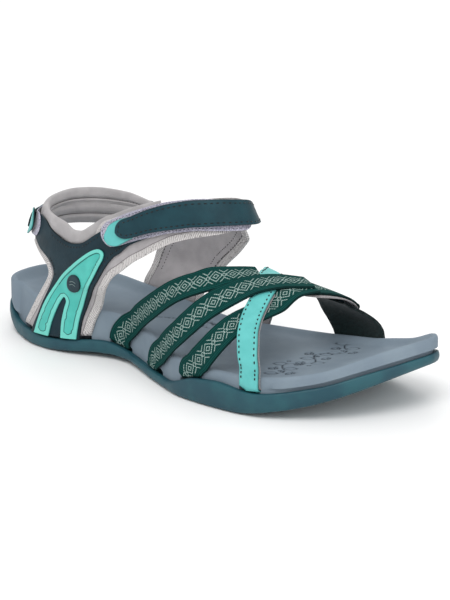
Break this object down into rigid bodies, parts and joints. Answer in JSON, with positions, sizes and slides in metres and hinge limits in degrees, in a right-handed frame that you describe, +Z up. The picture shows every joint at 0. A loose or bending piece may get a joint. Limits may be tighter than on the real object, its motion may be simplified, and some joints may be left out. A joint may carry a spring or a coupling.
{
  "type": "strappy sport sandal",
  "caption": "Right-foot sport sandal: moulded sole, strapped forefoot, wrapped heel and hook-and-loop straps at instep, heel and forefoot that open for the foot.",
  "frame": {"origin": "centre of the bounding box in plan, on the plane the sole stands on", "axes": "+Z up, +Y toward the heel (the toe points to -Y), +X toward the inner side of the foot; right foot"},
  "size_m": [0.099, 0.2632, 0.0932],
  "materials": {
    "outsole_rubber": "matte",
    "footbed_foam": "matte",
    "teal_synthetic": "matte",
    "mint_synthetic": "satin",
    "grey_lining": "matte",
    "padding_foam": "matte",
    "loop_tape": "napped",
    "hook_tape": "matte",
    "dark_backing": "matte",
    "woven_strap": "woven"
  },
  "bodies": {
    "sandal": {"outsole": "outsole_rubber", "footbed": "footbed_foam", "lateral_quarter_lining": "grey_lining", "lateral_quarter": "teal_synthetic", "lateral_overlay": "mint_synthetic", "lateral_badge": "teal_synthetic", "medial_quarter_lining": "grey_lining", "medial_quarter": "teal_synthetic", "heel_collar_cover": "grey_lining", "heel_collar_foam": "padding_foam", "heel_band": "mint_synthetic", "heel_loop_strip": "loop_tape", "instep_loop_strip": "loop_tape", "webbing_rear": "woven_strap", "webbing_middle": "woven_strap", "webbing_front": "woven_strap", "cross_strap": "mint_synthetic", "cross_strap_lining": "grey_lining", "forefoot_anchor": "dark_backing", "forefoot_anchor_lining": "dark_backing"},
    "instep_strap": {"instep_strap_base": "mint_synthetic", "instep_strap_top": "teal_synthetic", "instep_hook_pad": "hook_tape"},
    "heel_strap": {"heel_strap_base": "mint_synthetic", "heel_strap_top": "teal_synthetic", "heel_hook_pad": "hook_tape"},
    "forefoot_closure": {"forefoot_tab": "mint_synthetic", "forefoot_tab_lining": "grey_lining", "forefoot_hook_pad": "hook_tape"}
  },
  "joints": [
    {"name": "instep_strap_fold", "type": "hinge", "parent": "sandal", "child": "instep_strap", "pos_m": [0.02463, -0.01141, 0.07973], "axis": [0.1732, 0.123, 0.9772], "range_deg": [0, 95]},
    {"name": "heel_strap_fold", "type": "hinge", "parent": "sandal", "child": "heel_strap", "pos_m": [0.03606, 0.06345, 0.06393], "axis": [-0.0102, 0.0246, -0.9996], "range_deg": [0, 100]},
    {"name": "forefoot_tab_fold", "type": "hinge", "parent": "sandal", "child": "forefoot_closure", "pos_m": [0.0131, -0.06042, 0.04941], "axis": [0.1518, -0.9597, -0.2367], "range_deg": [0, 70]}
  ]
}
